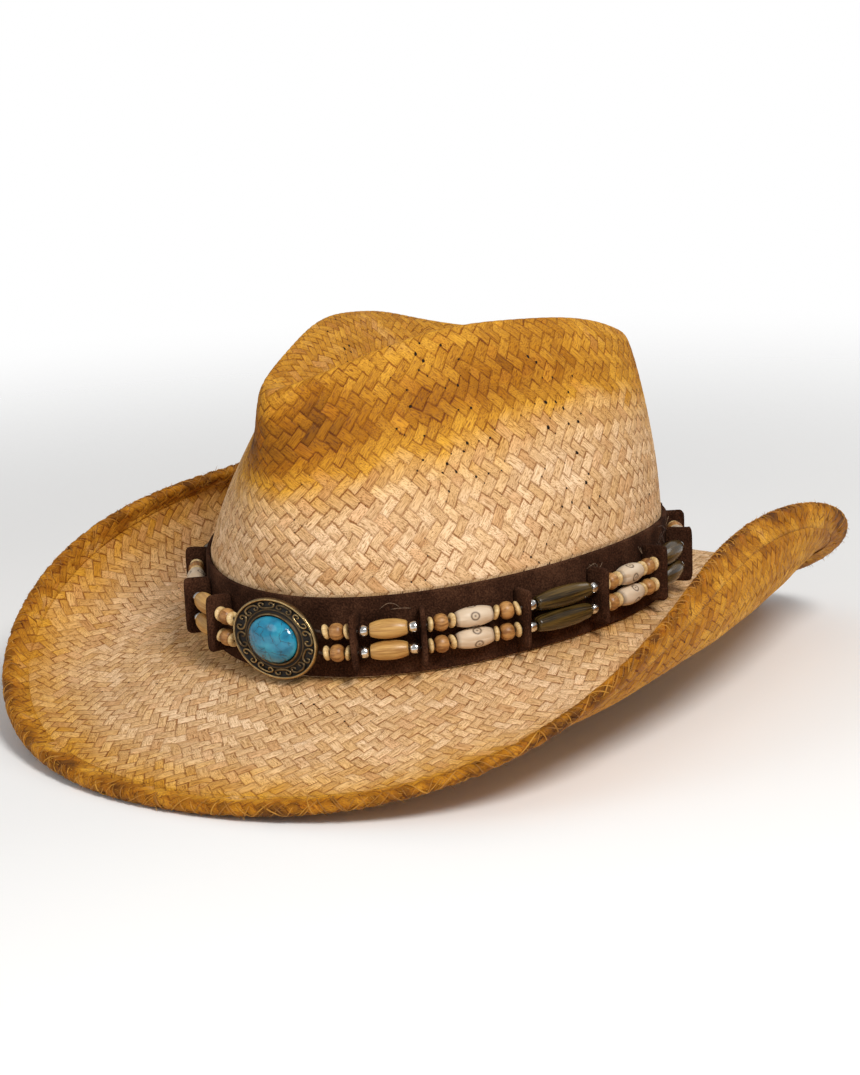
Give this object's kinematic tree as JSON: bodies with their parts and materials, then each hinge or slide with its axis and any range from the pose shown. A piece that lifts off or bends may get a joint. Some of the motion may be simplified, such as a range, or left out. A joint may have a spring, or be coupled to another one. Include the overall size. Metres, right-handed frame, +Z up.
{
  "type": "cowboy hat",
  "caption": "Woven straw cowboy hat with a pinched teardrop crown, rolled brim, suede band, two strands of beads that turn on their cords, and an oval turquoise concho.",
  "frame": {"origin": "middle of the head opening, where the brim meets the crown", "axes": "+Z up through the crown, -Y towards the front of the hat, +X towards the wearer's left"},
  "size_m": [0.304, 0.3754, 0.157],
  "materials": {
    "straw": "woven raffia, natural with golden brown shading, semi-matt",
    "straw_braid": "overcast raffia braid, golden brown, semi-matt",
    "spring_wire": "drawn steel wire",
    "sweatband_cloth": "woven cotton tape, matt black",
    "suede": "dark brown suede, brushed nap",
    "bead_strand": "waxed cord with turned wooden and silvered small beads",
    "tan_wood": "turned tan wood, satin lacquer",
    "carved_bone": "pale whitewashed wood with carved rings, satin",
    "dark_horn": "dark olive brown, polished",
    "antique_bronze": "antiqued bronze, darkened in its hollows",
    "turquoise": "polished turquoise with dark veins"
  },
  "bodies": {
    "hat": {"back_keeper": "suede", "brim_wire": "spring_wire", "concho_bar": "antique_bronze", "concho_plate": "antique_bronze", "edge_binding": "straw_braid", "lower_strand": "bead_strand", "straw_body": "straw", "suede_band": "suede", "suede_tile_left_1": "suede", "suede_tile_left_2": "suede", "suede_tile_left_3": "suede", "suede_tile_left_4": "suede", "suede_tile_left_5": "suede", "suede_tile_left_6": "suede", "suede_tile_left_7": "suede", "suede_tile_left_8": "suede", "suede_tile_right_1": "suede", "suede_tile_right_2": "suede", "suede_tile_right_3": "suede", "suede_tile_right_4": "suede", "suede_tile_right_5": "suede", "suede_tile_right_6": "suede", "suede_tile_right_7": "suede", "suede_tile_right_8": "suede", "sweatband": "sweatband_cloth", "turquoise_cabochon": "turquoise", "upper_strand": "bead_strand"},
    "carved_barrel_lower_left_2": {"carved_barrel_lower_left_2": "carved_bone"},
    "carved_barrel_lower_left_4": {"carved_barrel_lower_left_4": "carved_bone"},
    "carved_barrel_lower_left_6": {"carved_barrel_lower_left_6": "carved_bone"},
    "carved_barrel_lower_right_2": {"carved_barrel_lower_right_2": "carved_bone"},
    "carved_barrel_lower_right_4": {"carved_barrel_lower_right_4": "carved_bone"},
    "carved_barrel_lower_right_6": {"carved_barrel_lower_right_6": "carved_bone"},
    "carved_barrel_upper_left_2": {"carved_barrel_upper_left_2": "carved_bone"},
    "carved_barrel_upper_left_4": {"carved_barrel_upper_left_4": "carved_bone"},
    "carved_barrel_upper_left_6": {"carved_barrel_upper_left_6": "carved_bone"},
    "carved_barrel_upper_right_2": {"carved_barrel_upper_right_2": "carved_bone"},
    "carved_barrel_upper_right_4": {"carved_barrel_upper_right_4": "carved_bone"},
    "carved_barrel_upper_right_6": {"carved_barrel_upper_right_6": "carved_bone"},
    "dark_barrel_lower_left_3": {"dark_barrel_lower_left_3": "dark_horn"},
    "dark_barrel_lower_left_5": {"dark_barrel_lower_left_5": "dark_horn"},
    "dark_barrel_lower_right_3": {"dark_barrel_lower_right_3": "dark_horn"},
    "dark_barrel_lower_right_5": {"dark_barrel_lower_right_5": "dark_horn"},
    "dark_barrel_upper_left_3": {"dark_barrel_upper_left_3": "dark_horn"},
    "dark_barrel_upper_left_5": {"dark_barrel_upper_left_5": "dark_horn"},
    "dark_barrel_upper_right_3": {"dark_barrel_upper_right_3": "dark_horn"},
    "dark_barrel_upper_right_5": {"dark_barrel_upper_right_5": "dark_horn"},
    "tan_barrel_lower_left_1": {"tan_barrel_lower_left_1": "tan_wood"},
    "tan_barrel_lower_right_1": {"tan_barrel_lower_right_1": "tan_wood"},
    "tan_barrel_upper_left_1": {"tan_barrel_upper_left_1": "tan_wood"},
    "tan_barrel_upper_right_1": {"tan_barrel_upper_right_1": "tan_wood"}
  },
  "joints": [
    {"name": "carved_barrel_lower_left_2_spin", "type": "hinge", "parent": "hat", "child": "carved_barrel_lower_left_2", "pos_m": [0.07143, -0.07332, 0.0129], "axis": [0.5904, 0.8047, 0.0621], "continuous": true},
    {"name": "carved_barrel_lower_left_4_spin", "type": "hinge", "parent": "hat", "child": "carved_barrel_lower_left_4", "pos_m": [0.09478, 0.00058, 0.01567], "axis": [-0.0044, 1, -0.0006], "continuous": true},
    {"name": "carved_barrel_lower_left_6_spin", "type": "hinge", "parent": "hat", "child": "carved_barrel_lower_left_6", "pos_m": [0.07075, 0.07421, 0.01283], "axis": [-0.5988, 0.7985, -0.0623], "continuous": true},
    {"name": "carved_barrel_lower_right_2_spin", "type": "hinge", "parent": "hat", "child": "carved_barrel_lower_right_2", "pos_m": [-0.06652, -0.07944, 0.01243], "axis": [-0.6479, 0.7591, 0.0632], "continuous": true},
    {"name": "carved_barrel_lower_right_4_spin", "type": "hinge", "parent": "hat", "child": "carved_barrel_lower_right_4", "pos_m": [-0.09457, -0.00733, 0.01564], "axis": [-0.0549, 0.9985, 0.0078], "continuous": true},
    {"name": "carved_barrel_lower_right_6_spin", "type": "hinge", "parent": "hat", "child": "carved_barrel_lower_right_6", "pos_m": [-0.07523, 0.06785, 0.01329], "axis": [0.5409, 0.8389, -0.0601], "continuous": true},
    {"name": "carved_barrel_upper_left_2_spin", "type": "hinge", "parent": "hat", "child": "carved_barrel_upper_left_2", "pos_m": [0.07143, -0.07332, 0.0215], "axis": [0.5904, 0.8047, 0.0621], "continuous": true},
    {"name": "carved_barrel_upper_left_4_spin", "type": "hinge", "parent": "hat", "child": "carved_barrel_upper_left_4", "pos_m": [0.09478, 0.00058, 0.02427], "axis": [-0.0044, 1, -0.0006], "continuous": true},
    {"name": "carved_barrel_upper_left_6_spin", "type": "hinge", "parent": "hat", "child": "carved_barrel_upper_left_6", "pos_m": [0.07075, 0.07421, 0.02143], "axis": [-0.5988, 0.7985, -0.0623], "continuous": true},
    {"name": "carved_barrel_upper_right_2_spin", "type": "hinge", "parent": "hat", "child": "carved_barrel_upper_right_2", "pos_m": [-0.06652, -0.07944, 0.02102], "axis": [-0.6479, 0.7591, 0.0632], "continuous": true},
    {"name": "carved_barrel_upper_right_4_spin", "type": "hinge", "parent": "hat", "child": "carved_barrel_upper_right_4", "pos_m": [-0.09457, -0.00733, 0.02424], "axis": [-0.0549, 0.9985, 0.0078], "continuous": true},
    {"name": "carved_barrel_upper_right_6_spin", "type": "hinge", "parent": "hat", "child": "carved_barrel_upper_right_6", "pos_m": [-0.07523, 0.06785, 0.02189], "axis": [0.5409, 0.8389, -0.0601], "continuous": true},
    {"name": "dark_barrel_lower_left_3_spin", "type": "hinge", "parent": "hat", "child": "dark_barrel_lower_left_3", "pos_m": [0.08925, -0.03841, 0.01493], "axis": [0.2932, 0.9552, 0.0392], "continuous": true},
    {"name": "dark_barrel_lower_left_5_spin", "type": "hinge", "parent": "hat", "child": "dark_barrel_lower_left_5", "pos_m": [0.08892, 0.03948, 0.01489], "axis": [-0.3019, 0.9525, -0.0402], "continuous": true},
    {"name": "dark_barrel_lower_right_3_spin", "type": "hinge", "parent": "hat", "child": "dark_barrel_lower_right_3", "pos_m": [-0.08669, -0.04585, 0.01461], "axis": [-0.3528, 0.9346, 0.0457], "continuous": true},
    {"name": "dark_barrel_lower_right_5_spin", "type": "hinge", "parent": "hat", "child": "dark_barrel_lower_right_5", "pos_m": [-0.09107, 0.03194, 0.01517], "axis": [0.2427, 0.9695, -0.0331], "continuous": true},
    {"name": "dark_barrel_upper_left_3_spin", "type": "hinge", "parent": "hat", "child": "dark_barrel_upper_left_3", "pos_m": [0.08925, -0.03841, 0.02353], "axis": [0.2932, 0.9552, 0.0392], "continuous": true},
    {"name": "dark_barrel_upper_left_5_spin", "type": "hinge", "parent": "hat", "child": "dark_barrel_upper_left_5", "pos_m": [0.08892, 0.03948, 0.02349], "axis": [-0.3019, 0.9525, -0.0402], "continuous": true},
    {"name": "dark_barrel_upper_right_3_spin", "type": "hinge", "parent": "hat", "child": "dark_barrel_upper_right_3", "pos_m": [-0.08669, -0.04585, 0.02321], "axis": [-0.3528, 0.9346, 0.0457], "continuous": true},
    {"name": "dark_barrel_upper_right_5_spin", "type": "hinge", "parent": "hat", "child": "dark_barrel_upper_right_5", "pos_m": [-0.09107, 0.03194, 0.02377], "axis": [0.2427, 0.9695, -0.0331], "continuous": true},
    {"name": "tan_barrel_lower_left_1_spin", "type": "hinge", "parent": "hat", "child": "tan_barrel_lower_left_1", "pos_m": [0.04834, -0.09751, 0.01086], "axis": [0.8206, 0.5686, 0.0573], "continuous": true},
    {"name": "tan_barrel_lower_right_1_spin", "type": "hinge", "parent": "hat", "child": "tan_barrel_lower_right_1", "pos_m": [-0.04162, -0.10172, 0.01043], "axis": [-0.8669, 0.4957, 0.0518], "continuous": true},
    {"name": "tan_barrel_upper_left_1_spin", "type": "hinge", "parent": "hat", "child": "tan_barrel_upper_left_1", "pos_m": [0.04834, -0.09751, 0.01946], "axis": [0.8206, 0.5686, 0.0573], "continuous": true},
    {"name": "tan_barrel_upper_right_1_spin", "type": "hinge", "parent": "hat", "child": "tan_barrel_upper_right_1", "pos_m": [-0.04162, -0.10172, 0.01903], "axis": [-0.8669, 0.4957, 0.0518], "continuous": true}
  ]
}
